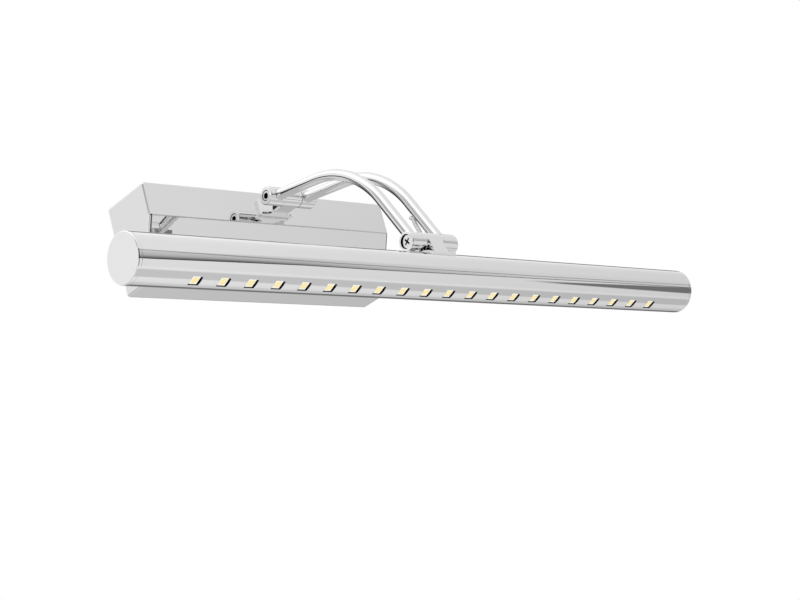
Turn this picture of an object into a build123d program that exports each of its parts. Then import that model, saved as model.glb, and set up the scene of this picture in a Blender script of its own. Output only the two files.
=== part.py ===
from build123d import *
import math
import os

# Wall picture light: a chromed wall box, two bowed arms on friction hinges and a slim LED tube.
# Millimetres, +Z up, +X along the tube, and the lamp stands out towards -Y.
# The origin is the centre of the box's back, on the wall plane.

os.makedirs("parts", exist_ok=True)

# ---------------------------------------------------------------- wall box
box_w = 178.0           # along the wall
box_h = 54.0
box_d = 35.0            # stand-out of the front face
front_h = 20.0          # height of the upright front face, above the slope
bottom_d = 18.0         # depth of the underside
cover_t = 1.0           # sheet of the cover
cover_corner_r = 1.5    # rounded outer edges of the cover

plate_w = 166.0
plate_h = 48.0
plate_t = 1.5
tab_x = 50.0            # bent tabs that take the cover screws
tab_w = 14.0
tab_d = 11.0
slot_x = 72.0           # wall screw slots, from the centre
slot_r = 2.25
slot_len = 12.0
cable_x = -24.0         # supply cable hole
cable_hole_r = 6.0
cable_bore_r = 4.0

driver_w = 60.0
driver_h = 28.0
driver_d = 16.0
driver_x = 26.0         # centre of the driver case
driver_z = -4.0
driver_ear = 6.0
driver_ear_t = 2.0

terminal_w = 24.0
terminal_h = 16.0
terminal_d = 12.0
terminal_x = -50.0
terminal_z = -6.0
terminal_poles = 3
terminal_pitch = 8.0
well_z = 4.2            # clamp screw wells, above and below the middle of the block
well_depth = 5.0
wire_hole_y = 4.0       # wire holes, from the wall plate's face
earth_z = 15.0
earth_washer_t = 0.8

# ---------------------------------------------------------------- hinges
wall_axis_y = -50.5
wall_axis_z = 16.5
head_axis_y = -145.5
head_axis_z = -55.9
barrel_r = 5.3
barrel_end = 16.8       # outer end of each barrel, from the middle
knuckle_half = 6.0      # half length of the middle knuckle
side_gap = 0.1          # hairline gap between the knuckle and each barrel
slide_gap = 0.05        # play between a washer and the barrel that slides on it
washer_r = 4.4
washer_sink = 0.45      # depth of the washer's seat in the knuckle
lead_side_gap = 0.6     # wider gap on the side where the lead crosses the wall hinge
barrel_start = knuckle_half + side_gap
lead_side_start = knuckle_half + lead_side_gap
pivot_r = 2.0
running_gap = 0.05
pivot_head_h = 2.4
wall_head_r = 3.0       # hex socket head, almost level with the barrel's end
wall_head_sink = 0.15
lamp_head_r = 3.8       # cross recessed head, sunk in the barrel's end
lamp_head_sink = 0.9
counterbore_gap = 0.15
cross_turn = 55.0
cross_len = 4.2
cross_w = 1.0
hex_corner_r = 2.0
recess_depth = 1.8
sleeve_r = 2.6
sleeve_bore_r = 1.7
sleeve_end = 8.6
bracket_t = 1.6
neck_half = 5.0         # half width of each bracket's plate beside the knuckle
wall_foot_half = 11.3   # half width of the wall bracket's flange
wall_foot_reach = 3.6   # its full width starts this far in front of the cover
wall_foot_r = 4.0
lamp_foot_half = 8.7
lamp_foot_h = 2.6
lamp_foot_r = 2.5
stiffener_w = 30.0      # backing plate of the wall bracket, inside the cover
stiffener_h = 14.0
stiffener_t = 1.5
bracket_screw_x = 8.4
bracket_screw_r = 1.25

# ---------------------------------------------------------------- arms
arm_x = 10.3            # each arm's distance from the middle
arm_r = 3.1
arm_bore_r = 2.3
arm_root = 2.9          # the arm stops this far from each hinge axis
arm_start_slope = 10.5  # degrees below level at the wall
arm_end_slope = 64.5    # degrees below level at the lamp
arm_bend_r = 60.0

# ---------------------------------------------------------------- lamp tube
tube_y = -145.2
tube_z = -75.4
tube_r = 12.5
tube_t = 1.2
tube_len = 400.0        # over the end caps
cap_t = 2.0
cap_spigot = 6.0
light_tilt = 19.5       # degrees forward from straight down
led_count = 21
led_pitch = 16.5
window_x = 6.0
window_w = 5.8
board_face = 10.05      # distance from the tube axis to the board's face
board_t = 1.6
board_w = 8.0
board_len = 352.0
led_x = 4.4
led_w = 5.2
led_t = 1.6
led_corner = 0.3
phosphor_x = 3.4
phosphor_w = 3.9
phosphor_corner = 0.9
phosphor_t = 0.2
carrier_t = 3.0
plate_tilt = 13.0       # the lamp bracket's plate leans forward by this

# ---------------------------------------------------------------- leads
lead_r = 1.2
core_r = 0.9
lead_x = 2.4            # where the output lead leaves the box
lead_way_r = 1.5        # its way through the wall knuckle
lead_hole_x = 3.5       # where the lead enters the lamp tube
lead_hole_tilt = 30.0   # degrees back from the top of the tube
grommet_neck_r = 1.9
grommet_flange_r = 2.8
grommet_flange_t = 0.7
grommet_bore_r = 1.4


def finish(piece, name):
    """Label a finished piece and write it to its own file."""
    piece.part.label = name
    export_step(piece.part, f"parts/{name}.step")


def across_at(x, y, z):
    """Plane through (x, y, z) with its normal along +X; its x runs along +Y and its y along +Z."""
    return Plane(origin=(x, y, z), x_dir=(0, 1, 0), z_dir=(1, 0, 0))


# ================================================================ wall box
slope_top = box_h / 2 - front_h

with BuildPart() as box_cover:
    with BuildSketch(Plane.YZ.offset(-box_w / 2)):
        with BuildLine():
            Polyline(
                (0, box_h / 2),
                (-box_d, box_h / 2),
                (-box_d, slope_top),
                (-bottom_d, -box_h / 2),
                (0, -box_h / 2),
                close=True,
            )
        make_face()
    extrude(amount=box_w)
    back_edges = box_cover.edges().filter_by_position(Axis.Y, -0.01, 0.01)
    fillet(box_cover.edges() - back_edges, radius=cover_corner_r)
    offset(amount=-cover_t, openings=box_cover.faces().sort_by(Axis.Y)[-1])
    # holes for the lead, the bracket's screws and the cover screws
    with BuildSketch(Plane.XZ.offset(box_d - cover_t - 1)):
        with Locations((lead_x, wall_axis_z)):
            Circle(grommet_neck_r)
        with Locations((-bracket_screw_x, wall_axis_z), (bracket_screw_x, wall_axis_z)):
            Circle(bracket_screw_r)
    extrude(amount=cover_t + 2, mode=Mode.SUBTRACT)
    with BuildSketch(Plane.XY.offset(box_h / 2 - cover_t - 1)):
        with Locations((-tab_x, -tab_d / 2 - plate_t / 2), (tab_x, -tab_d / 2 - plate_t / 2)):
            Circle(1.7)
    extrude(amount=cover_t + 2, mode=Mode.SUBTRACT)
finish(box_cover, "box_cover")

tab_top = box_h / 2 - cover_t - 0.1
tab_t = 2.0
with BuildPart() as wall_plate:
    with BuildSketch(Plane.XZ):
        RectangleRounded(plate_w, plate_h, 3)
        with Locations((-slot_x, 0), (slot_x, 0)):
            SlotOverall(slot_len, 2 * slot_r, mode=Mode.SUBTRACT)
        with Locations((cable_x, 0)):
            Circle(cable_hole_r, mode=Mode.SUBTRACT)
    extrude(amount=plate_t)
    # the tabs stand forward from the top edge, and each takes a cover screw
    with BuildSketch(Plane.XZ):
        with Locations((-tab_x, (plate_h / 2 + tab_top) / 2 - 1), (tab_x, (plate_h / 2 + tab_top) / 2 - 1)):
            Rectangle(tab_w, tab_top - plate_h / 2 + 2)
    extrude(amount=plate_t)
    with BuildSketch(Plane.XY.offset(tab_top - tab_t)):
        with Locations((-tab_x, -tab_d / 2), (tab_x, -tab_d / 2)):
            Rectangle(tab_w, tab_d)
    extrude(amount=tab_t)
    with BuildSketch(Plane.XY.offset(tab_top - tab_t - 1)):
        with Locations((-tab_x, -tab_d / 2 - plate_t / 2), (tab_x, -tab_d / 2 - plate_t / 2)):
            Circle(1.5)
    extrude(amount=tab_t + 2, mode=Mode.SUBTRACT)
    # threaded holes for the driver, the terminal block and the earth screw
    with BuildSketch(Plane.XZ):
        ear_x = driver_w / 2 + driver_ear / 2
        with Locations((driver_x - ear_x, driver_z), (driver_x + ear_x, driver_z)):
            Circle(1.5)
        with Locations((terminal_x, terminal_z)):
            Circle(1.25)
        with Locations((terminal_x, earth_z)):
            Circle(2.0)
    extrude(amount=plate_t, mode=Mode.SUBTRACT)
finish(wall_plate, "wall_plate")


def screw_down(axis_plane, shank_r, shank_len, head_r, head_h, slot_w=0.8):
    """Pan head screw: the head stands on the plane, the shank goes the other way."""
    with BuildPart() as screw:
        with BuildSketch(axis_plane):
            Circle(head_r)
        extrude(amount=head_h)
        top = screw.faces().sort_by(Axis(axis_plane.origin, axis_plane.z_dir))[-1]
        fillet(top.edges(), radius=head_h * 0.4)
        with BuildSketch(axis_plane):
            Circle(shank_r)
        extrude(amount=-shank_len)
        with BuildSketch(axis_plane.offset(head_h * 0.45)):
            Rectangle(head_r * 1.2, slot_w)
            Rectangle(slot_w, head_r * 1.2)
        extrude(amount=head_h, mode=Mode.SUBTRACT)
    return screw.part


cover_screw = screw_down(Plane.XY, 1.5, 6.0, 2.8, 1.6)
with BuildPart() as cover_screws:
    tab_mid = -tab_d / 2 - plate_t / 2
    with Locations((-tab_x, tab_mid, box_h / 2), (tab_x, tab_mid, box_h / 2)):
        add(cover_screw)
finish(cover_screws, "cover_screws")

# driver case with an ear at each end, on the wall plate
with BuildPart() as led_driver:
    with BuildSketch(Plane.XZ.offset(plate_t)):
        with Locations((driver_x, driver_z)):
            RectangleRounded(driver_w, driver_h, 2)
    extrude(amount=driver_d)
    fillet(led_driver.faces().sort_by(Axis.Y)[0].edges(), radius=1.2)
    with BuildSketch(Plane.XZ.offset(plate_t)):
        with Locations((driver_x, driver_z)):
            RectangleRounded(driver_w + 2 * driver_ear, 10, 2)
        with Locations((driver_x - ear_x, driver_z), (driver_x + ear_x, driver_z)):
            Circle(1.6, mode=Mode.SUBTRACT)
    extrude(amount=driver_ear_t)
finish(led_driver, "led_driver")

toward_room = Plane(origin=(0, 0, 0), z_dir=(0, -1, 0))
driver_screw = screw_down(toward_room, 1.5, driver_ear_t + plate_t, 2.6, 1.6)
with BuildPart() as driver_screws:
    ear_y = -(plate_t + driver_ear_t)
    with Locations((driver_x - ear_x, ear_y, driver_z), (driver_x + ear_x, ear_y, driver_z)):
        add(driver_screw)
finish(driver_screws, "driver_screws")

# terminal block with a wire hole and a screw well for each pole
with BuildPart() as terminal_block:
    with BuildSketch(Plane.XZ.offset(plate_t)):
        with Locations((terminal_x, terminal_z)):
            RectangleRounded(terminal_w, terminal_h, 1)
    extrude(amount=terminal_d)
    poles = [(terminal_x + (i - 1) * terminal_pitch, terminal_z) for i in range(terminal_poles)]
    with BuildSketch(Plane.XZ.offset(plate_t + terminal_d - well_depth)):
        with Locations(*[(x, z + side * well_z) for x, z in poles for side in (-1, 1)]):
            Circle(1.6)
    extrude(amount=well_depth + 1, mode=Mode.SUBTRACT)
    with BuildSketch(Plane.XY.offset(terminal_z - terminal_h / 2)):
        with Locations(*[(x, -plate_t - wire_hole_y) for x, z in poles]):
            Circle(1.2)
    extrude(amount=3, mode=Mode.SUBTRACT)
    with BuildSketch(Plane.XZ):
        with Locations((terminal_x, terminal_z)):
            Circle(1.4)
    extrude(amount=plate_t + terminal_d, mode=Mode.SUBTRACT)
    with BuildSketch(Plane.XZ.offset(plate_t + 4)):
        with Locations((terminal_x, terminal_z)):
            Circle(2.4)
    extrude(amount=terminal_d, mode=Mode.SUBTRACT)
finish(terminal_block, "terminal_block")

with BuildPart() as terminal_screws:
    for x, z in poles:
        for step in (-well_z, well_z):
            well = Plane(origin=(x, -(plate_t + terminal_d - well_depth), z + step), z_dir=(0, -1, 0))
            with BuildSketch(well):
                Circle(1.5)
            extrude(amount=2.4)
            with BuildSketch(well.offset(1.6)):
                Rectangle(3.2, 0.6)
            extrude(amount=1.0, mode=Mode.SUBTRACT)
finish(terminal_screws, "terminal_screws")

block_floor = 4.0       # thickness of the block under its fixing screw
fixing_screw = screw_down(toward_room, 1.25, plate_t + block_floor, 2.2, 1.4)
with BuildPart() as terminal_fixing_screw:
    with Locations((terminal_x, -(plate_t + block_floor), terminal_z)):
        add(fixing_screw)
finish(terminal_fixing_screw, "terminal_fixing_screw")

# earth screw with its cupped washer
with BuildPart() as earth_washer:
    with BuildSketch(Plane(origin=(terminal_x, -plate_t, earth_z), z_dir=(0, -1, 0))):
        Circle(4.4)
        Circle(2.05, mode=Mode.SUBTRACT)
    extrude(amount=earth_washer_t)
finish(earth_washer, "earth_washer")

stud_screw = screw_down(toward_room, 2.0, plate_t + earth_washer_t, 3.6, 2.2)
with BuildPart() as earth_screw:
    with Locations((terminal_x, -(plate_t + earth_washer_t), earth_z)):
        add(stud_screw)
finish(earth_screw, "earth_screw")

# rubber grommet of the supply cable, set in the wall plate and level with its back
with BuildPart() as cable_grommet:
    with BuildSketch(Plane.XZ):
        with Locations((cable_x, 0)):
            Circle(cable_hole_r)
    extrude(amount=plate_t)
    with BuildSketch(Plane.XZ.offset(plate_t)):
        with Locations((cable_x, 0)):
            Circle(cable_hole_r + 1.8)
    extrude(amount=1.8)
    fillet(cable_grommet.faces().sort_by(Axis.Y)[0].edges(), radius=0.7)
    with BuildSketch(Plane.XZ):
        with Locations((cable_x, 0)):
            Circle(cable_bore_r)
    extrude(amount=plate_t + 1.8, mode=Mode.SUBTRACT)
finish(cable_grommet, "cable_grommet")


def lead(points, radii, radius):
    """A round lead along straight runs joined by tangent arcs."""
    with BuildPart() as cord:
        with BuildLine() as route:
            FilletPolyline(*points, radius=radii)
        start = route.line ^ 0
        with BuildSketch(Plane(origin=start.position, z_dir=route.line % 0)):
            Circle(radius)
        sweep(path=route.line)
    return cord


# ================================================================ wall hinge
plate_bottom = wall_axis_z - barrel_r
cover_inside = -(box_d - cover_t)
blind_skin = 0.5        # metal left in front of the flange's blind screw holes

with BuildPart() as wall_bracket:
    with BuildSketch(across_at(-knuckle_half, wall_axis_y, wall_axis_z)):
        Circle(barrel_r)
    extrude(amount=2 * knuckle_half)
    # level plate from under the knuckle, widening to the flange that stands on the cover
    with BuildSketch(Plane.XY.offset(plate_bottom)):
        with Locations((0, (wall_axis_y - box_d) / 2)):
            Rectangle(2 * neck_half, -box_d - wall_axis_y)
        with Locations((0, -box_d - wall_foot_reach / 2)):
            Rectangle(2 * wall_foot_half, wall_foot_reach)
        inner = [
            v
            for v in vertices()
            if abs(abs(v.X) - neck_half) < 0.01 and abs(v.Y + box_d + wall_foot_reach) < 0.01
        ]
        fillet(inner, radius=wall_foot_r)
    extrude(amount=bracket_t)
    with BuildSketch(Plane.XZ.offset(box_d)):
        with Locations((0, wall_axis_z)):
            Rectangle(2 * wall_foot_half, 2 * barrel_r)
    extrude(amount=bracket_t)
    bend_edges = (
        wall_bracket.edges()
        .filter_by(Axis.X)
        .filter_by_position(Axis.Y, -box_d - 0.01, -box_d + 0.01)
        .filter_by_position(Axis.Z, plate_bottom - 0.01, plate_bottom + 0.01)
    )
    fillet(bend_edges, radius=bracket_t)
    upper_corners = (
        wall_bracket.edges()
        .filter_by(Axis.Y)
        .filter_by_position(Axis.Z, plate_bottom + 2 * barrel_r - 0.01, plate_bottom + 2 * barrel_r + 0.01)
    )
    fillet(upper_corners, radius=1.5)
    # pivot screw thread on the left, hollow sleeve on the right, and the lead's way in from behind
    with BuildSketch(across_at(-knuckle_half, wall_axis_y, wall_axis_z)):
        Circle(pivot_r)
    extrude(amount=knuckle_half - 1, mode=Mode.SUBTRACT)
    with BuildSketch(across_at(0, wall_axis_y, wall_axis_z)):
        Circle(sleeve_r)
    extrude(amount=knuckle_half, mode=Mode.SUBTRACT)
    # seats for the friction washers
    for seat_start in (-knuckle_half, knuckle_half - washer_sink):
        with BuildSketch(across_at(seat_start, wall_axis_y, wall_axis_z)):
            Circle(washer_r)
        extrude(amount=washer_sink, mode=Mode.SUBTRACT)
    with BuildSketch(Plane.XZ.offset(box_d)):
        with Locations((-bracket_screw_x, wall_axis_z), (bracket_screw_x, wall_axis_z)):
            Circle(bracket_screw_r)
    extrude(amount=bracket_t - blind_skin, mode=Mode.SUBTRACT)
    with BuildSketch(Plane.XZ.offset(box_d)):
        with Locations((lead_x, wall_axis_z)):
            Circle(grommet_neck_r)
    extrude(amount=bracket_t, mode=Mode.SUBTRACT)
    with BuildSketch(Plane(origin=(lead_x, wall_axis_y, wall_axis_z), z_dir=(0, 1, 0))):
        Circle(lead_way_r)
    extrude(amount=barrel_r + 1, mode=Mode.SUBTRACT)
finish(wall_bracket, "wall_bracket")

# backing plate inside the cover, and the two screws that go through it into the flange
with BuildPart() as bracket_stiffener:
    with BuildSketch(Plane.XZ.offset(-cover_inside - stiffener_t)):
        with Locations((0, wall_axis_z)):
            RectangleRounded(stiffener_w, stiffener_h, 2)
        with Locations((lead_x, wall_axis_z)):
            Circle(grommet_neck_r, mode=Mode.SUBTRACT)
        with Locations((-bracket_screw_x, wall_axis_z), (bracket_screw_x, wall_axis_z)):
            Circle(bracket_screw_r, mode=Mode.SUBTRACT)
    extrude(amount=stiffener_t)
finish(bracket_stiffener, "bracket_stiffener")

bracket_stack = stiffener_t + cover_t + bracket_t
bracket_screw = screw_down(
    Plane(origin=(0, 0, 0), z_dir=(0, 1, 0)), bracket_screw_r, bracket_stack - blind_skin, 2.2, 1.5
)
with BuildPart() as bracket_screws:
    screw_y = cover_inside + stiffener_t
    with Locations((-bracket_screw_x, screw_y, wall_axis_z), (bracket_screw_x, screw_y, wall_axis_z)):
        add(bracket_screw)
finish(bracket_screws, "bracket_screws")


def grommet(seat, neck_len):
    """Rubber grommet: a neck along the seat plane's normal, between two flanges, with a bore."""
    with BuildPart() as ring:
        with BuildSketch(seat.offset(-grommet_flange_t)):
            Circle(grommet_flange_r)
        extrude(amount=grommet_flange_t)
        with BuildSketch(seat):
            Circle(grommet_neck_r)
        extrude(amount=neck_len)
        with BuildSketch(seat.offset(neck_len)):
            Circle(grommet_flange_r)
        extrude(amount=grommet_flange_t)
        with BuildSketch(seat.offset(-grommet_flange_t)):
            Circle(grommet_bore_r)
        extrude(amount=neck_len + 2 * grommet_flange_t, mode=Mode.SUBTRACT)
    return ring


face_grommet = grommet(
    Plane(origin=(lead_x, -box_d - bracket_t, wall_axis_z), z_dir=(0, 1, 0)),
    bracket_stack,
)
finish(face_grommet, "face_grommet")


def pivot_screw(y, z, sink, end_x, head_r, recess):
    """Pivot screw along X: a low head sunk in the left barrel's end, its shank running to end_x."""
    start_x = -barrel_end + sink
    with BuildPart() as screw:
        with BuildSketch(across_at(start_x, y, z)):
            Circle(head_r)
        extrude(amount=pivot_head_h)
        outer = screw.faces().sort_by(Axis.X)[0]
        fillet(outer.edges(), radius=0.4)
        with BuildSketch(across_at(start_x + pivot_head_h, y, z)):
            Circle(pivot_r)
        extrude(amount=end_x - start_x - pivot_head_h)
        with BuildSketch(across_at(start_x, y, z)):
            if recess == "cross":
                Rectangle(cross_len, cross_w, rotation=cross_turn)
                Rectangle(cross_w, cross_len, rotation=cross_turn)
            else:
                RegularPolygon(hex_corner_r, 6)
        extrude(amount=recess_depth, mode=Mode.SUBTRACT)
    return screw


wall_pivot_screw = pivot_screw(
    wall_axis_y, wall_axis_z, wall_head_sink, -1.0, wall_head_r, "hex"
)
finish(wall_pivot_screw, "wall_pivot_screw")

with BuildPart() as wall_pivot_sleeve:
    with BuildSketch(across_at(0, wall_axis_y, wall_axis_z)):
        Circle(sleeve_r)
        Circle(sleeve_bore_r, mode=Mode.SUBTRACT)
    extrude(amount=sleeve_end)
    # the lead comes in from behind
    with BuildSketch(Plane(origin=(lead_x, wall_axis_y, wall_axis_z), z_dir=(0, 1, 0))):
        Circle(lead_way_r)
    extrude(amount=sleeve_r + 1, mode=Mode.SUBTRACT)
finish(wall_pivot_sleeve, "wall_pivot_sleeve")


def friction_washers(y, z, left_bore, right_bore, right_start):
    """A thin washer in each end of the knuckle, reaching out to the barrel that slides on it."""
    seat = knuckle_half - washer_sink
    left_t = barrel_start - slide_gap - seat
    right_t = right_start - slide_gap - seat
    with BuildPart() as washers:
        for start, thickness, bore in ((-seat - left_t, left_t, left_bore), (seat, right_t, right_bore)):
            with BuildSketch(across_at(start, y, z)):
                Circle(washer_r)
                Circle(bore, mode=Mode.SUBTRACT)
            extrude(amount=thickness)
    return washers


pivot_bore_r = pivot_r + running_gap
sleeve_clear_r = sleeve_r + running_gap
wall_washers = friction_washers(
    wall_axis_y, wall_axis_z, pivot_bore_r, sleeve_clear_r, lead_side_start
)
finish(wall_washers, "wall_friction_washers")
head_washers = friction_washers(
    head_axis_y, head_axis_z, pivot_bore_r, pivot_bore_r, barrel_start
)
finish(head_washers, "head_friction_washers")

# ================================================================ arms
# level part, one bend and a steep straight part: the two straight lengths close the path
slope_a = math.radians(arm_start_slope)
slope_b = math.radians(arm_end_slope)
span_y = wall_axis_y - head_axis_y
drop_z = wall_axis_z - head_axis_z
rest_y = span_y - arm_bend_r * (math.sin(slope_b) - math.sin(slope_a))
rest_z = drop_z - arm_bend_r * (math.cos(slope_a) - math.cos(slope_b))
turn = math.sin(slope_b - slope_a)
arm_run_a = (rest_y * math.sin(slope_b) - rest_z * math.cos(slope_b)) / turn
arm_run_b = (rest_z * math.cos(slope_a) - rest_y * math.sin(slope_a)) / turn
arm_dir_a = (-math.cos(slope_a), -math.sin(slope_a))
arm_dir_b = (-math.cos(slope_b), -math.sin(slope_b))


def arm_point(axis_y, axis_z, direction, distance):
    """The point at a distance along a direction from a hinge axis, as (y, z)."""
    return (axis_y + direction[0] * distance, axis_z + direction[1] * distance)


bend_start = arm_point(wall_axis_y, wall_axis_z, arm_dir_a, arm_run_a)
bend_end = arm_point(head_axis_y, head_axis_z, arm_dir_b, -arm_run_b)
arm_first = arm_point(wall_axis_y, wall_axis_z, arm_dir_a, arm_root)
arm_last = arm_point(head_axis_y, head_axis_z, arm_dir_b, -arm_root)


def arm_tube(x):
    """A bowed tube in the plane at x, from one hinge to the other."""
    with BuildPart() as arm:
        with BuildLine(Plane.YZ.offset(x)) as path:
            Line(arm_first, bend_start)
            JernArc(
                start=bend_start,
                tangent=arm_dir_a,
                radius=arm_bend_r,
                arc_size=arm_end_slope - arm_start_slope,
            )
            Line(bend_end, arm_last)
        with BuildSketch(Plane(origin=path.line @ 0, z_dir=path.line % 0)):
            Circle(arm_r)
            Circle(arm_bore_r, mode=Mode.SUBTRACT)
        sweep(path=path.line)
    return arm


# the lead leaves the right arm through a slanting hole in its underside and runs down beside it
exit_up = 31.0          # distance of the lead's turn from the lamp hinge, along the arm
beside_up = 26.5        # where it has come out beside the arm
beside_off = arm_r + lead_r + 0.4
low_up = 13.0           # where it turns in behind the lamp hinge
up_y = math.cos(slope_b)
up_z = math.sin(slope_b)


def under_arm(x, along, off):
    """Point at x, this far up the arm from the lamp hinge and off its axis on the underside."""
    y = head_axis_y + up_y * along + up_z * off
    z = head_axis_z + up_z * along - up_y * off
    return Vector(x, y, z)


lead_turn = under_arm(arm_x, exit_up, 0)
lead_beside = under_arm(arm_x - 0.6, beside_up, beside_off)
lead_low = under_arm(arm_x - 2.6, low_up, beside_off + 0.2)
lead_behind = Vector(lead_hole_x + 1.2, head_axis_y + barrel_r + 3.2, head_axis_z + 1.5)
hole_dir = Vector(
    0,
    math.sin(math.radians(lead_hole_tilt)),
    math.cos(math.radians(lead_hole_tilt)),
)
hole_foot = Vector(lead_hole_x, tube_y, tube_z) + hole_dir * tube_r
exit_plane = Plane(origin=lead_turn, z_dir=lead_beside - lead_turn)

left_arm = arm_tube(-arm_x)
finish(left_arm, "left_arm")

whole_right_arm = arm_tube(arm_x)
with BuildPart() as right_arm:
    add(whole_right_arm.part)
    with BuildSketch(exit_plane):
        Circle(lead_r + 0.3)
    extrude(amount=2.5 * beside_off, mode=Mode.SUBTRACT)
finish(right_arm, "right_arm")


def socket_plane(x, y, z, direction):
    """Plane on a hinge axis at x, with its normal along the arm."""
    return Plane(origin=(x, y, z), z_dir=(0, direction[0], direction[1]))


def barrel(y, z, side, direction, bores, inner_end=barrel_start):
    """Hinge barrel on one side, with bores (start, end, radius) and a socket for its arm."""
    start = inner_end if side > 0 else -barrel_end
    with BuildPart() as piece:
        with BuildSketch(across_at(start, y, z)):
            Circle(barrel_r)
        extrude(amount=barrel_end - inner_end)
        outer = piece.faces().sort_by(Axis.X)[-1 if side > 0 else 0]
        fillet(outer.edges(), radius=0.4)
        for bore_start, bore_end, bore_r in bores:
            with BuildSketch(across_at(bore_start, y, z)):
                Circle(bore_r)
            extrude(amount=bore_end - bore_start, mode=Mode.SUBTRACT)
        seat = socket_plane(side * arm_x, y, z, direction)
        with BuildSketch(seat.offset(arm_root)):
            Circle(arm_r)
        extrude(amount=barrel_r, mode=Mode.SUBTRACT)
        # a narrow countersink round the arm
        with BuildSketch(seat.offset(barrel_r - 0.9)):
            Circle(arm_r)
        extrude(amount=2.4, taper=-25, mode=Mode.SUBTRACT)
    return piece


up_b = (-arm_dir_b[0], -arm_dir_b[1])


def screw_bores(sink, head_r):
    """Counterbore for a sunk pivot screw head and the running bore behind it."""
    seat = -barrel_end + sink + pivot_head_h
    return [
        (-barrel_end, seat, head_r + counterbore_gap),
        (seat, -barrel_start, pivot_bore_r),
    ]


wall_barrel_left = barrel(
    wall_axis_y,
    wall_axis_z,
    -1,
    arm_dir_a,
    screw_bores(wall_head_sink, wall_head_r),
)
finish(wall_barrel_left, "wall_barrel_left")

barrel_bore_end = 13.8
plain_barrel = barrel(
    wall_axis_y,
    wall_axis_z,
    1,
    arm_dir_a,
    [(lead_side_start, barrel_bore_end, sleeve_clear_r)],
    lead_side_start,
)
with BuildPart() as wall_barrel_right:
    add(plain_barrel.part)
    # the lead passes from the hinge bore up into the arm
    with BuildSketch(socket_plane(arm_x, wall_axis_y, wall_axis_z, arm_dir_a)):
        Circle(arm_bore_r)
    extrude(amount=arm_root, mode=Mode.SUBTRACT)
finish(wall_barrel_right, "wall_barrel_right")

head_barrel_left = barrel(
    head_axis_y,
    head_axis_z,
    -1,
    up_b,
    screw_bores(lamp_head_sink, lamp_head_r),
)
finish(head_barrel_left, "head_barrel_left")

screw_end = 12.0
head_barrel_right = barrel(head_axis_y, head_axis_z, 1, up_b, [(barrel_start, screw_end, pivot_r)])
finish(head_barrel_right, "head_barrel_right")

head_pivot_screw = pivot_screw(
    head_axis_y, head_axis_z, lamp_head_sink, screw_end, lamp_head_r, "cross"
)
finish(head_pivot_screw, "head_pivot_screw")

# ================================================================ lamp head
tilt = math.radians(light_tilt)
light_dir = (0, -math.sin(tilt), -math.cos(tilt))
light_plane = Plane(origin=(0, tube_y, tube_z), x_dir=(1, 0, 0), z_dir=light_dir)
tube_half = tube_len / 2 - cap_t
tube_bore_r = tube_r - tube_t

plate_lean = math.radians(plate_tilt)
lean_out = (-math.cos(plate_lean), math.sin(plate_lean))
saddle_t = 1.4
saddle_front = 9.0      # the saddle's reach in front of and behind the tube's axis
saddle_back = 2.4
saddle_screw_x = 3.2
saddle_screw_r = 1.25

with BuildPart() as lamp_tube:
    with BuildSketch(across_at(-tube_half, tube_y, tube_z)):
        Circle(tube_r)
        Circle(tube_bore_r, mode=Mode.SUBTRACT)
    extrude(amount=2 * tube_half)
    with BuildSketch(light_plane.offset(tube_bore_r - 2)):
        with GridLocations(led_pitch, 1, led_count, 1):
            RectangleRounded(window_x, window_w, 0.4)
    extrude(amount=tube_t + 3, mode=Mode.SUBTRACT)
    with BuildSketch(Plane(origin=(lead_hole_x, tube_y, tube_z), z_dir=hole_dir)):
        Circle(grommet_neck_r)
    extrude(amount=tube_r + 1, mode=Mode.SUBTRACT)
    with BuildSketch(Plane(origin=(0, tube_y, tube_z))):
        with Locations((-saddle_screw_x, 0), (saddle_screw_x, 0)):
            Circle(saddle_screw_r + 0.1)
    extrude(amount=tube_r + 1, mode=Mode.SUBTRACT)
finish(lamp_tube, "lamp_tube")


def end_cap(side):
    """Flat end cap with a hollow spigot inside the tube."""
    inner = side * (tube_len / 2 - cap_t)
    with BuildPart() as cap:
        with BuildSketch(Plane(origin=(inner, tube_y, tube_z), z_dir=(side, 0, 0))):
            Circle(tube_r)
        extrude(amount=cap_t)
        outer = cap.faces().sort_by(Axis.X)[-1 if side > 0 else 0]
        fillet(outer.edges(), radius=0.6)
        with BuildSketch(Plane(origin=(inner, tube_y, tube_z), z_dir=(-side, 0, 0))):
            Circle(tube_bore_r)
            Circle(tube_bore_r - 1.2, mode=Mode.SUBTRACT)
        extrude(amount=cap_spigot)
    return cap


finish(end_cap(-1), "end_cap_left")
finish(end_cap(1), "end_cap_right")

# heat spreader bar across the tube, behind the board
carrier_face = board_face - board_t
carrier_mid = carrier_face - carrier_t / 2
with BuildPart() as led_carrier:
    with BuildSketch(across_at(-board_len / 2, tube_y, tube_z)):
        Circle(tube_bore_r - 0.05)
        with Locations((light_dir[1] * carrier_mid, light_dir[2] * carrier_mid)):
            Rectangle(carrier_t, 3 * tube_r, rotation=90 - light_tilt, mode=Mode.INTERSECT)
    extrude(amount=board_len)
finish(led_carrier, "led_carrier")

with BuildPart() as led_board:
    with BuildSketch(light_plane.offset(carrier_face)):
        Rectangle(board_len, board_w)
    extrude(amount=board_t)
finish(led_board, "led_board")

with BuildPart() as led_packages:
    with BuildSketch(light_plane.offset(board_face)):
        with GridLocations(led_pitch, 1, led_count, 1):
            RectangleRounded(led_x, led_w, led_corner)
    extrude(amount=led_t)
    with BuildSketch(light_plane.offset(board_face + led_t - phosphor_t)):
        with GridLocations(led_pitch, 1, led_count, 1):
            RectangleRounded(phosphor_x, phosphor_w, phosphor_corner)
    extrude(amount=led_t, mode=Mode.SUBTRACT)
finish(led_packages, "led_packages")

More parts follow.
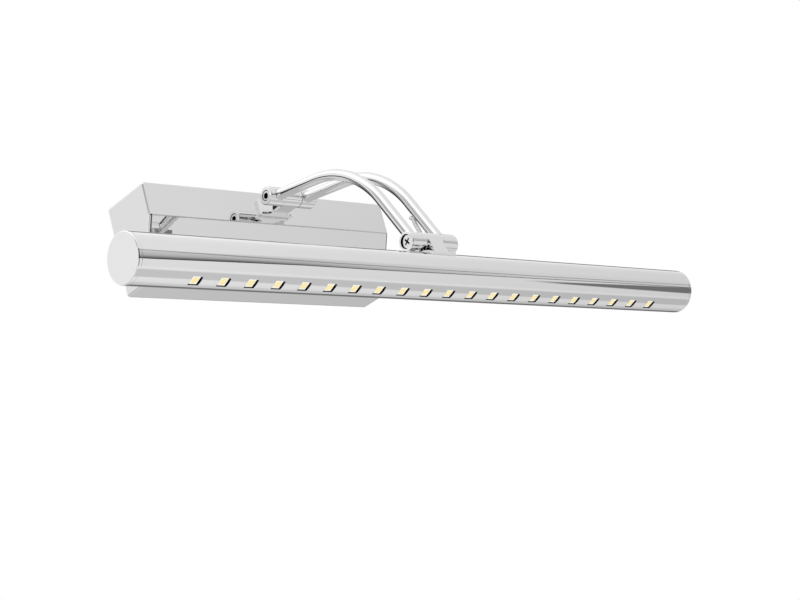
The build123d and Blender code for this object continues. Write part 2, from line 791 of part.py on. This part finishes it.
with BuildPart() as led_phosphors:
    with BuildSketch(light_plane.offset(board_face + led_t - phosphor_t)):
        with GridLocations(led_pitch, 1, led_count, 1):
            RectangleRounded(phosphor_x, phosphor_w, phosphor_corner)
    extrude(amount=phosphor_t)
finish(led_phosphors, "led_phosphors")

# lamp bracket: knuckle, leaning plate and a saddle on top of the tube
front_tangent = (head_axis_y + barrel_r * lean_out[0], head_axis_z + barrel_r * lean_out[1])
plate_len = 13.0
plate_front = Plane(
    origin=(0, front_tangent[0], front_tangent[1]),
    x_dir=(1, 0, 0),
    z_dir=(0, lean_out[0], lean_out[1]),
)
with BuildPart() as lamp_bracket:
    with BuildSketch(across_at(-knuckle_half, head_axis_y, head_axis_z)):
        Circle(barrel_r)
    extrude(amount=2 * knuckle_half)
    # leaning plate, widening to the foot that meets the saddle
    with BuildSketch(plate_front):
        with Locations((0, -plate_len / 2)):
            Rectangle(2 * neck_half, plate_len)
        with Locations((0, -plate_len + lamp_foot_h / 2)):
            Rectangle(2 * lamp_foot_half, lamp_foot_h)
        inner = [
            v
            for v in vertices()
            if abs(abs(v.X) - neck_half) < 0.01 and abs(v.Y + plate_len - lamp_foot_h) < 0.01
        ]
        fillet(inner, radius=lamp_foot_r)
    extrude(amount=-bracket_t)
    with BuildSketch(across_at(-lamp_foot_half, tube_y, tube_z)):
        Circle(tube_r + saddle_t)
        with Locations(((saddle_back - saddle_front) / 2, tube_r)):
            Rectangle(saddle_back + saddle_front, tube_r, mode=Mode.INTERSECT)
    extrude(amount=2 * lamp_foot_half)
    with BuildSketch(across_at(-lamp_foot_half, tube_y, tube_z)):
        Circle(tube_r)
    extrude(amount=2 * lamp_foot_half, mode=Mode.SUBTRACT)
    with BuildSketch(across_at(-knuckle_half, head_axis_y, head_axis_z)):
        Circle(pivot_bore_r)
    extrude(amount=2 * knuckle_half, mode=Mode.SUBTRACT)
    # seats for the friction washers
    for seat_start in (-knuckle_half, knuckle_half - washer_sink):
        with BuildSketch(across_at(seat_start, head_axis_y, head_axis_z)):
            Circle(washer_r)
        extrude(amount=washer_sink, mode=Mode.SUBTRACT)
    with BuildSketch(Plane(origin=(0, tube_y, tube_z + tube_r - 1))):
        with Locations((-saddle_screw_x, 0), (saddle_screw_x, 0)):
            Circle(saddle_screw_r)
    extrude(amount=saddle_t + 1, mode=Mode.SUBTRACT)
finish(lamp_bracket, "lamp_bracket")

# saddle screws, driven from inside the tube
saddle_screw = screw_down(
    Plane(origin=(0, 0, 0), z_dir=(0, 0, -1)), saddle_screw_r, tube_t + saddle_t + 0.3, 2.2, 1.5, 0.6
)
with BuildPart() as saddle_screws:
    screw_z = tube_z + tube_bore_r - 0.4
    with Locations((-saddle_screw_x, tube_y, screw_z), (saddle_screw_x, tube_y, screw_z)):
        add(saddle_screw)
finish(saddle_screws, "saddle_screws")

tube_grommet = grommet(
    Plane(origin=hole_foot, z_dir=hole_dir * -1),
    tube_t + 0.5,
)
finish(tube_grommet, "tube_grommet")

# ================================================================ leads
# supply side, from the terminal block to the driver
driver_left = driver_x - driver_w / 2
rise_x = -28.0          # both leads run level as far as this, then rise to the driver


def supply_lead(pole_x, level_z, driver_end_z):
    """One supply core: down out of the block, level under it, then up to the driver's end."""
    points = [
        (pole_x, -plate_t - wire_hole_y, terminal_z - terminal_h / 2 + 2.5),
        (pole_x, -plate_t - wire_hole_y, level_z),
        (rise_x, -plate_t - wire_hole_y - 2, level_z),
        (driver_left - 9, -plate_t - driver_d / 2, driver_end_z),
        (driver_left, -plate_t - driver_d / 2, driver_end_z),
    ]
    return lead(points, (2.5, 5.0, 5.0), core_r)


live_lead = supply_lead(poles[1][0], -21.0, -12.0)
neutral_lead = supply_lead(poles[2][0], -18.5, -6.0)
with BuildPart() as input_leads:
    add(live_lead.part)
    add(neutral_lead.part)
finish(input_leads, "input_leads")

# output lead: driver, front face, hinge knuckle, and out along the pivot
lead_joint_x = knuckle_half - 0.3
output_lead = lead(
    [
        (24, -9.5, driver_z + driver_h / 2),
        (24, -9.5, wall_axis_z),
        (lead_x, -17, wall_axis_z),
        (lead_x, wall_axis_y, wall_axis_z),
        (lead_joint_x, wall_axis_y, wall_axis_z),
    ],
    (4.0, 5.5, 2.4),
    lead_r,
)
finish(output_lead, "output_lead")

# arm lead: from the pivot up through the right arm
arm_lead_end = arm_point(head_axis_y, head_axis_z, arm_dir_b, -exit_up - 6)
lead_gap = 0.3
with BuildPart() as arm_lead:
    with BuildLine() as route:
        entry = FilletPolyline(
            (lead_joint_x + lead_gap, wall_axis_y, wall_axis_z),
            (arm_x, wall_axis_y, wall_axis_z),
            (arm_x, bend_start[0], bend_start[1]),
            radius=2.2,
        )
        with BuildLine(Plane.YZ.offset(arm_x)) as bend:
            JernArc(
                start=bend_start,
                tangent=arm_dir_a,
                radius=arm_bend_r,
                arc_size=arm_end_slope - arm_start_slope,
            )
            Line(bend_end, arm_lead_end)
        add(bend.line)
    with BuildSketch(Plane(origin=entry @ 0, z_dir=entry % 0)):
        Circle(lead_r)
    sweep(path=route.line)
finish(arm_lead, "arm_lead")

# jumper: out of the arm, behind the lamp hinge and in at the top of the tube
tube_inside = Vector(lead_hole_x, tube_y, tube_z) + hole_dir * (tube_bore_r - 2.5)
above_hole = Vector(lead_hole_x, tube_y, tube_z) + hole_dir * (tube_r + 3.0)
jumper_points = [
    (arm_x, arm_lead_end[0], arm_lead_end[1]),
    tuple(lead_turn),
    tuple(lead_beside),
    tuple(lead_low),
    tuple(lead_behind),
    tuple(above_hole),
    tuple(tube_inside),
]
jumper_lead = lead(jumper_points, (6.0, 6.0, 12.0, 12.0, 3.0), lead_r)
finish(jumper_lead, "jumper_lead")

# head lead: inside the tube, along the heat spreader and round its end to the board
lead_end_x = board_len / 2 + 5
run_depth = -2.5        # above the tube axis, against the light's direction
board_mid = board_face - board_t / 2


def in_tube(x, depth):
    """A point inside the tube at x, this far from its axis along the light's direction."""
    return (x, tube_y + light_dir[1] * depth, tube_z + light_dir[2] * depth)


head_lead = lead(
    [
        tuple(tube_inside - hole_dir * lead_gap),
        in_tube(lead_hole_x, run_depth),
        in_tube(lead_end_x, run_depth),
        in_tube(lead_end_x, board_mid),
        in_tube(board_len / 2, board_mid),
    ],
    (2.6, 4.0, 2.6),
    lead_r,
)
finish(head_lead, "head_lead")
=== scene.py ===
"""Looks of the wall picture light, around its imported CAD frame.

Everything is in metres in the CAD's frame: +Z up, +X along the lamp tube, +Y into the wall.
"""
import math

import bpy
from mathutils import Matrix, Vector


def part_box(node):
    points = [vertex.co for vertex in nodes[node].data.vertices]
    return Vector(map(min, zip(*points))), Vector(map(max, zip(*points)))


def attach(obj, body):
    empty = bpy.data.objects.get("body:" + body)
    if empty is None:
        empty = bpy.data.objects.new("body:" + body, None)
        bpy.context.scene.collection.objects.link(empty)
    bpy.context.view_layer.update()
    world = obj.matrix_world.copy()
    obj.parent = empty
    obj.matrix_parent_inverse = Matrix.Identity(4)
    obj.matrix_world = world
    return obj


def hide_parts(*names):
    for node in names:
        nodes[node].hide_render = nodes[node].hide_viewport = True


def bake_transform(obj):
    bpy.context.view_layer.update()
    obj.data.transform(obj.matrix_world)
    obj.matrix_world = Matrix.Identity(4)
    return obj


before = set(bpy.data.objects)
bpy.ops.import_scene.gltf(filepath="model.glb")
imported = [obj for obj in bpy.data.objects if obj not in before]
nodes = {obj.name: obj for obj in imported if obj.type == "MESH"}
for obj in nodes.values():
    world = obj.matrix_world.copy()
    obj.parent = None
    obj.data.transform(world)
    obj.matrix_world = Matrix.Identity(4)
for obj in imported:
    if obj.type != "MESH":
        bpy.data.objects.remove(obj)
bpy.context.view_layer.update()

# ------------------------------------------------------------------ camera
CAMERA_PLACE = Vector((-0.68224, -0.76334, -0.38225))
CAMERA_LOOKS = Vector((0.68881, 0.65524, 0.31017)).normalized()
CAMERA_UP = Vector((-0.03462, -0.39764, 0.91689))
CAMERA_LENS = 83.25
SENSOR = 36.0

camera_data = bpy.data.cameras.new("camera")
camera_data.lens = CAMERA_LENS
camera_data.sensor_width = SENSOR
camera_data.clip_start = 0.01
camera_data.clip_end = 100.0
camera = bpy.data.objects.new("camera", camera_data)
bpy.context.scene.collection.objects.link(camera)
camera_right = CAMERA_LOOKS.cross(CAMERA_UP).normalized()
camera_top = camera_right.cross(CAMERA_LOOKS)
turn = Matrix((camera_right, camera_top, -CAMERA_LOOKS)).transposed()
camera.matrix_world = Matrix.Translation(CAMERA_PLACE) @ turn.to_4x4()
bpy.context.scene.camera = camera
bpy.context.scene.view_settings.view_transform = "Standard"


# ------------------------------------------------------------------ node helpers
class Tree:
    """A short way to build a node tree."""

    def __init__(self, tree):
        self.tree = tree
        tree.nodes.clear()

    def add(self, kind, sets=None, **inputs):
        """A node with properties from sets; inputs are constants or other nodes' outputs."""
        node = self.tree.nodes.new(kind)
        for name, value in (sets or {}).items():
            setattr(node, name, value)
        for name, value in inputs.items():
            self.put(node, name.replace("_", " "), value)
        return node

    def put(self, node, name, value):
        """Link an output to a node's input, or set that input to a constant."""
        socket = node.inputs[int(name)] if name.isdigit() else node.inputs[name]
        if isinstance(value, bpy.types.NodeSocket):
            self.tree.links.new(value, socket)
        else:
            socket.default_value = value

    def math(self, operation, a, b=None):
        """The result of a math operation on constants or outputs."""
        node = self.tree.nodes.new("ShaderNodeMath")
        node.operation = operation
        self.put(node, "0", a)
        if b is not None:
            self.put(node, "1", b)
        return node.outputs[0]

    def spread(self, value, low, high, to_low, to_high):
        """Map a value from one range to another, clamped."""
        node = self.add("ShaderNodeMapRange", Value=value)
        self.put(node, "From Min", low)
        self.put(node, "From Max", high)
        self.put(node, "To Min", to_low)
        self.put(node, "To Max", to_high)
        return node.outputs[0]

    def ramp(self, factor, stops):
        """A colour ramp with stops of (position, grey) or (position, (r, g, b))."""
        node = self.tree.nodes.new("ShaderNodeValToRGB")
        elements = node.color_ramp.elements
        elements.remove(elements[1])
        elements[0].position = 0.0
        for index, (position, colour) in enumerate(stops):
            element = elements.new(position) if index else elements[0]
            if isinstance(colour, (int, float)):
                colour = (colour, colour, colour)
            element.position = position
            element.color = (*colour, 1.0)
        self.put(node, "Fac", factor)
        return node.outputs["Color"]


def grey(level):
    """Linear value of an 8-bit screen grey."""
    c = level / 255
    return c / 12.92 if c <= 0.04045 else ((c + 0.055) / 1.055) ** 2.4


# ------------------------------------------------------------------ studio
# The room is a light tent. Its shades go by the angle round the X axis: 0 is straight out in
# front, 90 is straight up and 180 is behind. Dark panels hang in front, and how far each one
# reaches goes by the direction's X share, from 0.58 at the tube's left end to 0.79 at its right.
MIRROR = 0.9            # share of light that the chrome reflects
WHITE = (1.0, 1.0, 1.0, 1.0)

# the tent's screen grey in the chrome, by degrees round the X axis
TENT_GREYS = [
    (-180, 226),
    (-160, 197),
    (-148, 197),
    (-128, 222),
    (-106, 224),
    (-103, 194),
    (-69, 194),
    (-65, 218),
    (-60, 228),
    (-50, 219),
    (25, 222),
    (60, 222),
    (90, 226),
    (112, 240),
    (180, 246),
]
# share of the tent's light that each part leaves, or adds overhead
RIGHT_END_SHARE = 0.86
OVERHEAD_EXTRA = 0.36
FAR_LEFT_SHARE = 0.5
LEFT_BEHIND_SHARE = 0.88
WALL_SIDE_SHARE = 0.22
UPPER_LINE_SHARE = 0.45
LOWER_LINE_SHARE = 0.15
LEFT_PANEL_RIGHT_END = 0.15     # how strong the left panel still is at its right end
RIGHT_PANEL_SHARE = 0.25
ROOM_SHARE = 0.08

# the left panel's share of light, by degrees above its lower edge
LEFT_PANEL_SHARES = [
    (-4, 1.0),
    (-2, 1.0),
    (-1, 0.12),
    (3, 0.17),
    (8, 0.33),
    (12, 0.52),
    (20, 0.66),
    (30, 0.74),
    (34, 0.9),
    (38, 1.0),
]

world = bpy.data.worlds.new("studio")
bpy.context.scene.world = world
world.use_nodes = True
w = Tree(world.node_tree)
direction = w.add("ShaderNodeTexCoord").outputs["Generated"]
split = w.add("ShaderNodeSeparateXYZ", Vector=direction)
across = split.outputs["X"]
behind = split.outputs["Y"]
height = split.outputs["Z"]
front = w.math("MULTIPLY", behind, -1.0)
degrees = w.math("MULTIPLY", w.math("ARCTAN2", height, front), 180 / math.pi)


def rise(value, low, high):
    """An amount that goes from 0 at low to 1 at high."""
    return w.spread(value, low, high, 0.0, 1.0)


def fall(value, low, high):
    """An amount that goes from 1 at low to 0 at high."""
    return w.spread(value, low, high, 1.0, 0.0)


def overlap(first, *others):
    """The amount by which a direction is within all of these."""
    for other in others:
        first = w.math("MULTIPLY", first, other)
    return first


def shades(value, low, high, stops):
    """Colour ramp over a range of values, with stops of (value, share of light)."""
    place = w.spread(value, low, high, 0.0, 1.0)
    return w.ramp(place, [((v - low) / (high - low), share) for v, share in stops])


def times(a, b):
    """The product of two colours or greys."""
    node = w.add("ShaderNodeMix", {"data_type": "RGBA", "blend_type": "MULTIPLY"})
    w.put(node, "0", 1.0)
    w.put(node, "6", a)
    w.put(node, "7", b)
    return node.outputs[2]


def mixed(amount, a, b):
    """Colour a where the amount is 0 and colour b where it is 1."""
    node = w.add("ShaderNodeMix", {"data_type": "RGBA"})
    w.put(node, "0", amount)
    w.put(node, "6", a)
    w.put(node, "7", b)
    return node.outputs[2]


def patch(share, amount):
    """A grey share of light where the amount is 1, and all of the light where it is 0."""
    return mixed(amount, WHITE, (share, share, share, 1.0))


def line(angle, half, soft, share):
    """A dark line this many degrees each side of an angle."""
    off = w.math("ABSOLUTE", w.math("SUBTRACT", degrees, angle))
    return w.spread(off, half, half + soft, share, 1.0)


lit = shades(degrees, -180.0, 180.0, [(v, grey(g) / MIRROR) for v, g in TENT_GREYS])
lit = times(lit, w.spread(across, 0.60, 0.79, 1.0, RIGHT_END_SHARE))

# the tent is brightest overhead on the left, and greyer far out and behind on the left
overhead = overlap(rise(height, 0.66, 0.74), fall(across, -0.15, 0.05))
lit = times(lit, w.math("ADD", w.math("MULTIPLY", overhead, OVERHEAD_EXTRA), 1.0))
far_left = overlap(fall(across, -0.77, -0.70), rise(height, 0.32, 0.40))
lit = times(lit, patch(FAR_LEFT_SHARE, far_left))
left_behind = overlap(fall(across, -0.50, -0.45), rise(behind, 0.4, 0.5))
lit = times(lit, patch(LEFT_BEHIND_SHARE, left_behind))

# the side towards the wall is in shade on the right
wall_side = w.math("MAXIMUM", rise(degrees, 120.0, 126.0), fall(degrees, -166.0, -161.0))
shaded = overlap(rise(across, 0.5, 0.57), wall_side)
lit = times(lit, patch(WALL_SIDE_SHARE, shaded))

# a thin upper line, whose angle changes from left to right
upper_left = w.spread(across, 0.585, 0.66, 15.0, 10.0)
upper_right = w.spread(across, 0.74, 0.79, 0.0, 5.0)
upper = w.math("ADD", upper_left, upper_right)
lit = times(lit, line(upper, 0.8, 2.0, UPPER_LINE_SHARE))

# the left panel is sharp and darkest at its lower edge, with a line there, and fades upward
lower_left = w.spread(across, 0.585, 0.65, -20.5, -9.0)
lower_right = w.spread(across, 0.68, 0.77, 0.0, 10.0)
lower = w.math("ADD", lower_left, lower_right)
above_lower = w.math("SUBTRACT", degrees, lower)
left_panel = shades(above_lower, -4.0, 40.0, LEFT_PANEL_SHARES)
strength = w.spread(across, 0.62, 0.74, 1.0, LEFT_PANEL_RIGHT_END)
lit = times(lit, mixed(strength, WHITE, left_panel))
lit = times(lit, line(lower, 0.6, 1.6, LOWER_LINE_SHARE))

# the right panel lies between its top and its foot, and widens to the right
top = w.spread(across, 0.75, 0.79, -12.0, 1.0)
foot = w.spread(across, 0.735, 0.79, -18.0, -31.0)
under_top = rise(w.math("SUBTRACT", top, degrees), 0.0, 3.0)
over_foot = rise(w.math("SUBTRACT", degrees, foot), -3.0, 1.0)
right_panel = overlap(under_top, over_foot, rise(across, 0.735, 0.75))
lit = times(lit, patch(RIGHT_PANEL_SHARE, right_panel))

# the dark room shows through the opening in front, where the camera stands
level = overlap(fall(height, 0.24, 0.32), rise(height, -0.34, -0.24))
below = overlap(
    rise(height, -0.82, -0.74),
    rise(across, -0.42, -0.32),
    fall(height, -0.34, -0.24),
)
room = overlap(
    w.math("MAXIMUM", level, below),
    fall(across, 0.42, 0.52),
    rise(front, 0.50, 0.60),
)
lit = times(lit, patch(ROOM_SHARE, room))

# the camera itself sees plain white
is_camera = w.add("ShaderNodeLightPath").outputs["Is Camera Ray"]
background = w.add("ShaderNodeBackground", Color=mixed(is_camera, lit, WHITE))
w.add("ShaderNodeOutputWorld", Surface=background.outputs[0])


# ------------------------------------------------------------------ materials
SMUDGE_SCALE = 38.0
POLISHED = 0.008        # roughness of chrome where it is clean
SMUDGED = 0.03          # and where it is smudged
TONE_SCALE = 60.0
GLOSS_SCALE = 130.0


def material(name):
    """A new material and its emptied node tree."""
    made = bpy.data.materials.new(name)
    made.use_nodes = True
    return made, Tree(made.node_tree)


def noise(t, scale, detail, roughness=0.5):
    """Noise in the object's own coordinates, from 0 to 1."""
    place = t.add("ShaderNodeTexCoord").outputs["Object"]
    return t.add(
        "ShaderNodeTexNoise",
        Vector=place,
        Scale=scale,
        Detail=detail,
        Roughness=roughness,
    ).outputs["Fac"]


def surface(t, **inputs):
    """A principled surface as the material's output."""
    shader = t.add("ShaderNodeBsdfPrincipled")
    for name, value in inputs.items():
        t.put(shader, name.replace("_", " "), value)
    t.add("ShaderNodeOutputMaterial", Surface=shader.outputs[0])
    return shader


def bump(t, relief, distance, normal=None):
    """The normal with a relief of this many metres on it."""
    node = t.add("ShaderNodeBump", Height=relief, Distance=distance, Strength=1.0)
    if normal is not None:
        t.put(node, "Normal", normal)
    return node.outputs["Normal"]


def darker(colour, share):
    """A colour with each part made smaller by this share."""
    return tuple(c * (1 - share) for c in colour)


def patchy(t, pattern, low, high):
    """A colour that wanders between two, with flat stretches of each."""
    return t.ramp(pattern, [(0.3, low), (0.7, high)])


def chrome(name, tint, wave_scale, wave_height, edge=0.0004):
    """Mirror chrome: broad shallow waves from forming, faint smudges, slightly rounded edges."""
    made, t = material(name)
    gloss = t.spread(noise(t, SMUDGE_SCALE, 5.0, 0.6), 0.0, 1.0, POLISHED, SMUDGED)
    colour = patchy(t, noise(t, 14.0, 2.0), tint, darker(tint, 0.015))
    rounded = t.add("ShaderNodeBevel", {"samples": 6}, Radius=edge).outputs[0]
    waves = bump(t, noise(t, wave_scale, 1.0), wave_height, rounded)
    surface(t, Base_Color=colour, Metallic=1.0, Roughness=gloss, Normal=waves)
    return made


def plain(name, colour, rough, metallic, grain, grain_height, uneven=0.06):
    """A plain finish with a fine grain and a little unevenness of colour and gloss."""
    made, t = material(name)
    tone = patchy(t, noise(t, TONE_SCALE, 4.0), darker(colour, uneven), colour)
    gloss = t.spread(noise(t, GLOSS_SCALE, 3.0), 0.0, 1.0, rough * 0.85, min(1.0, rough * 1.2))
    fine = bump(t, noise(t, grain, 2.0), grain_height)
    surface(t, Base_Color=tone, Metallic=metallic, Roughness=gloss, Normal=fine)
    return made


def matt_black(name):
    """A dull black, painted as shade into the insides of recesses and windows."""
    made, t = material(name)
    tone = patchy(t, noise(t, 300.0, 2.0), 0.004, 0.009)
    shader = surface(t, Base_Color=tone, Roughness=0.8)
    t.put(shader, "Specular IOR Level", 0.03)
    return made


def glowing(name, colour, light, strength):
    """A resin with a faint painted glow, painted light that brightens it, a little uneven in
    colour.
    """
    made, t = material(name)
    tone = patchy(t, noise(t, 420.0, 2.0), darker(colour, 0.06), colour)
    fine = bump(t, noise(t, 3000.0, 2.0), 0.00001)
    shader = surface(t, Base_Color=tone, Roughness=0.35, Normal=fine)
    t.put(shader, "Emission Color", (*light, 1.0))
    t.put(shader, "Emission Strength", strength)
    return made


CHROME = (0.90, 0.90, 0.90)
SHEET = (0.82, 0.82, 0.82)      # the box's pressed sheet is a little duller
looks = {
    "chrome_sheet": chrome("chrome_sheet", SHEET, 22.0, 0.00005, 0.0008),
    "chrome_tube": chrome("chrome_tube", CHROME, 18.0, 0.00003),
    "chrome_small": chrome("chrome_small", CHROME, 60.0, 0.00001),
    "zinc": plain("zinc", (0.62, 0.63, 0.64), 0.32, 1.0, 1400.0, 0.000008, 0.12),
    "nickel": plain("nickel", (0.86, 0.865, 0.87), 0.14, 1.0, 1400.0, 0.000004),
    "brass": plain("brass", (0.74, 0.56, 0.27), 0.28, 1.0, 1400.0, 0.000005, 0.1),
    "driver_case": plain("driver_case", (0.80, 0.80, 0.78), 0.5, 0.0, 2600.0, 0.00003),
    "terminal": plain("terminal", (0.74, 0.75, 0.73), 0.3, 0.0, 900.0, 0.00001),
    "rubber": plain("rubber", (0.025, 0.025, 0.026), 0.7, 0.0, 2000.0, 0.00003),
    "nylon": plain("nylon", (0.70, 0.70, 0.67), 0.45, 0.0, 1200.0, 0.00001),
    "aluminium": plain("aluminium", (0.70, 0.71, 0.72), 0.4, 1.0, 1400.0, 0.00001, 0.1),
    "painted_shade_black": matt_black("painted_shade_black"),
    # the board is near black: a dark board, and painted shade in the gaps beside the LEDs
    "board": plain("board", (0.012, 0.012, 0.013), 0.4, 0.0, 1500.0, 0.00001),
    # painted light: the LED packages and phosphors glow faintly to look lit
    "led_body": glowing("led_body", (0.92, 0.91, 0.87), (1.0, 0.97, 0.88), 0.35),
    "phosphor": glowing("phosphor", (0.95, 0.80, 0.40), (1.0, 0.80, 0.36), 0.32),
    "core": plain("core", (0.17, 0.065, 0.03), 0.4, 0.0, 900.0, 0.00001),
    "lead": plain("lead", (0.80, 0.80, 0.80), 0.22, 0.7, 900.0, 0.00002),
}
# the CAD nodes that wear each look
worn_by = {
    "chrome_sheet": ["box_cover"],
    "chrome_tube": ["lamp_tube", "end_cap_left", "end_cap_right"],
    "chrome_small": [
        "wall_bracket",
        "left_arm",
        "right_arm",
        "wall_barrel_left",
        "wall_barrel_right",
        "head_barrel_left",
        "head_barrel_right",
        "lamp_bracket",
    ],
    "zinc": [
        "wall_plate",
        "bracket_stiffener",
        "bracket_screws",
        "driver_screws",
        "terminal_screws",
        "terminal_fixing_screw",
        "earth_washer",
        "saddle_screws",
        "wall_pivot_sleeve",
    ],
    "nickel": ["cover_screws", "wall_pivot_screw", "head_pivot_screw"],
    "brass": ["earth_screw"],
    "driver_case": ["led_driver"],
    "terminal": ["terminal_block"],
    "rubber": ["cable_grommet", "face_grommet", "tube_grommet"],
    "nylon": ["wall_friction_washers", "head_friction_washers"],
    "aluminium": ["led_carrier"],
    "board": ["led_board"],
    "led_body": ["led_packages"],
    "phosphor": ["led_phosphors"],
    "core": ["input_leads"],
    "lead": ["output_lead", "arm_lead", "jumper_lead", "head_lead"],
}
for look, wearers in worn_by.items():
    for node_name in wearers:
        mesh = nodes[node_name].data
        mesh.materials.clear()
        mesh.materials.append(looks[look])

# ------------------------------------------------------------------ lead at the lamp hinge
# route of the lead between the right arm and the lamp tube, as in the CAD
JUMPER_ROUTE = [
    (0.0103, -0.129571, -0.022504),
    (0.0103, -0.132154, -0.02792),
    (0.0097, -0.129849, -0.034005),
    (0.0077, -0.135481, -0.046276),
    (0.0047, -0.1370, -0.0544),
    (0.0035, -0.13745, -0.061977),
    (0.0035, -0.1408, -0.067779),
]
LEAD_R = 0.0012
STEPS_PER_SPAN = 40     # of the NURBS line, between two points of the route
RIB_PITCH = 0.0011
RIB_DEPTH = 0.00014
RINGS_PER_RIB = 6
RING_SIDES = 20


def smooth_route(points):
    """The points along the NURBS line through a route, closely spaced."""
    curve = bpy.data.curves.new("route", "CURVE")
    curve.dimensions = "3D"
    curve.resolution_u = STEPS_PER_SPAN
    spline = curve.splines.new("NURBS")
    spline.points.add(len(points) - 1)
    for point, place in zip(spline.points, points):
        point.co = (*place, 1.0)
    spline.order_u = 3
    spline.use_endpoint_u = True
    holder = bpy.data.objects.new("route", curve)
    bpy.context.scene.collection.objects.link(holder)
    bpy.context.view_layer.update()
    ready = holder.evaluated_get(bpy.context.evaluated_depsgraph_get())
    mesh = bpy.data.meshes.new_from_object(ready)
    line_points = [v.co.copy() for v in mesh.vertices]
    bpy.data.objects.remove(holder)
    return line_points


def evenly(points, step):
    """Points a fixed step apart along a line of points."""
    spaced = [points[0].copy()]
    left = step
    for a, b in zip(points, points[1:]):
        run = (b - a).length
        walked = 0.0
        while run - walked >= left:
            walked += left
            spaced.append(a.lerp(b, walked / run))
            left = step
        left -= run - walked
    return spaced


def sleeve(name, points, radius_at, sides):
    """A closed mesh tube along points, its radius given ring by ring."""
    side_way = Vector((1.0, 0.0, 0.0))
    verts = []
    for i, place in enumerate(points):
        ahead = points[min(i + 1, len(points) - 1)] - points[max(i - 1, 0)]
        ahead.normalize()
        u = (side_way - ahead * side_way.dot(ahead)).normalized()
        v = ahead.cross(u)
        for k in range(sides):
            a = 2 * math.pi * k / sides
            verts.append(place + (u * math.cos(a) + v * math.sin(a)) * radius_at(i))
    faces = []
    for i in range(len(points) - 1):
        for k in range(sides):
            j = (k + 1) % sides
            faces.append((i * sides + k, i * sides + j, (i + 1) * sides + j, (i + 1) * sides + k))
    faces.append(tuple(reversed(range(sides))))
    faces.append(tuple(range((len(points) - 1) * sides, len(points) * sides)))
    mesh = bpy.data.meshes.new(name)
    mesh.from_pydata(verts, [], faces)
    mesh.shade_smooth()
    piece = bpy.data.objects.new(name, mesh)
    bpy.context.scene.collection.objects.link(piece)
    return piece


def rib_radius(ring):
    """Radius of the ribbed sheath at a ring."""
    return LEAD_R - RIB_DEPTH * (0.5 + 0.5 * math.cos(2 * math.pi * ring / RINGS_PER_RIB))


jumper_line = smooth_route(JUMPER_ROUTE)
rings = evenly(jumper_line, RIB_PITCH / RINGS_PER_RIB)
jumper = sleeve("jumper_sheath", rings, rib_radius, RING_SIDES)
jumper.data.materials.append(looks["lead"])
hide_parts("jumper_lead")
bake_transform(jumper)

# a plain collar where the lead leaves the arm
COLLAR_R = 0.00185
COLLAR_EDGE = 0.00025
COLLAR_STEPS = [0.60, 0.61, 0.98, 1.0]      # places between the route's second and third points
leaves = Vector(JUMPER_ROUTE[1])
beside = Vector(JUMPER_ROUTE[2])
collar_line = [leaves.lerp(beside, share) for share in COLLAR_STEPS]


def collar_radius(ring):
    """Radius of the collar, with its edges broken."""
    return COLLAR_R - (COLLAR_EDGE if ring in (0, len(COLLAR_STEPS) - 1) else 0.0)


collar = sleeve("lead_collar", collar_line, collar_radius, RING_SIDES)
collar.data.materials.append(looks["chrome_small"])
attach(collar, "arms")

# ------------------------------------------------------------------ black parts
# painted shade: the inside of the tube and the cut edges of its windows are painted black, where
# shade falls
TUBE_SKIN = 0.01248     # just under the tube's outer radius
tube_mesh = nodes["lamp_tube"].data
tube_low, tube_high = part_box("lamp_tube")
tube_y = (tube_low.y + tube_high.y) / 2
tube_z = (tube_low.z + tube_high.z) / 2
tube_mesh.materials.append(looks["painted_shade_black"])
for face in tube_mesh.polygons:
    corners = [tube_mesh.vertices[i].co for i in face.vertices]
    if min(math.hypot(c.y - tube_y, c.z - tube_z) for c in corners) < TUBE_SKIN:
        face.material_index = 1

# painted shade: the screws' cross recesses and the barrels' counterbores are painted black too,
# where shade falls:
# each piece, the screw that gives its axis, how far from the axis it is black, and how far in
# from its left end
RECESSES = [
    ("wall_pivot_screw", "wall_pivot_screw", 0.0024, 0.0017),
    ("head_pivot_screw", "head_pivot_screw", 0.0024, 0.0019),
    ("wall_barrel_left", "wall_pivot_screw", 0.0033, 0.0026),
    ("head_barrel_left", "head_pivot_screw", 0.0041, 0.0034),
]
END_SKIN = 0.00004      # the left end's own faces stay as they are


def darken(node_name, axis_of, reach, depth):
    """Paint black shade on a node's faces within reach of a screw's axis and within depth of its
    left end.
    """
    mesh = nodes[node_name].data
    mesh.materials.append(looks["painted_shade_black"])
    low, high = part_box(axis_of)
    mid_y = (low.y + high.y) / 2
    mid_z = (low.z + high.z) / 2
    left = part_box(node_name)[0].x
    for face in mesh.polygons:
        off = math.hypot(face.center.y - mid_y, face.center.z - mid_z)
        if off < reach and left + END_SKIN < face.center.x < left + depth:
            face.material_index = 1


for recess in RECESSES:
    darken(*recess)

# ------------------------------------------------------------------ floor
FLOOR_Z = -0.62
FLOOR_HALF = 4.0
floor_mesh = bpy.data.meshes.new("floor")
floor_mesh.from_pydata(
    [
        (x * FLOOR_HALF, y * FLOOR_HALF, FLOOR_Z)
        for x, y in ((-1, -1), (1, -1), (1, 1), (-1, 1))
    ],
    [],
    [(0, 1, 2, 3)],
)
floor = bpy.data.objects.new("floor", floor_mesh)
bpy.context.scene.collection.objects.link(floor)
floor_mesh.materials.append(plain("floor", (0.92, 0.92, 0.92), 0.8, 0.0, 20.0, 0.0, 0.01))
floor.visible_glossy = False
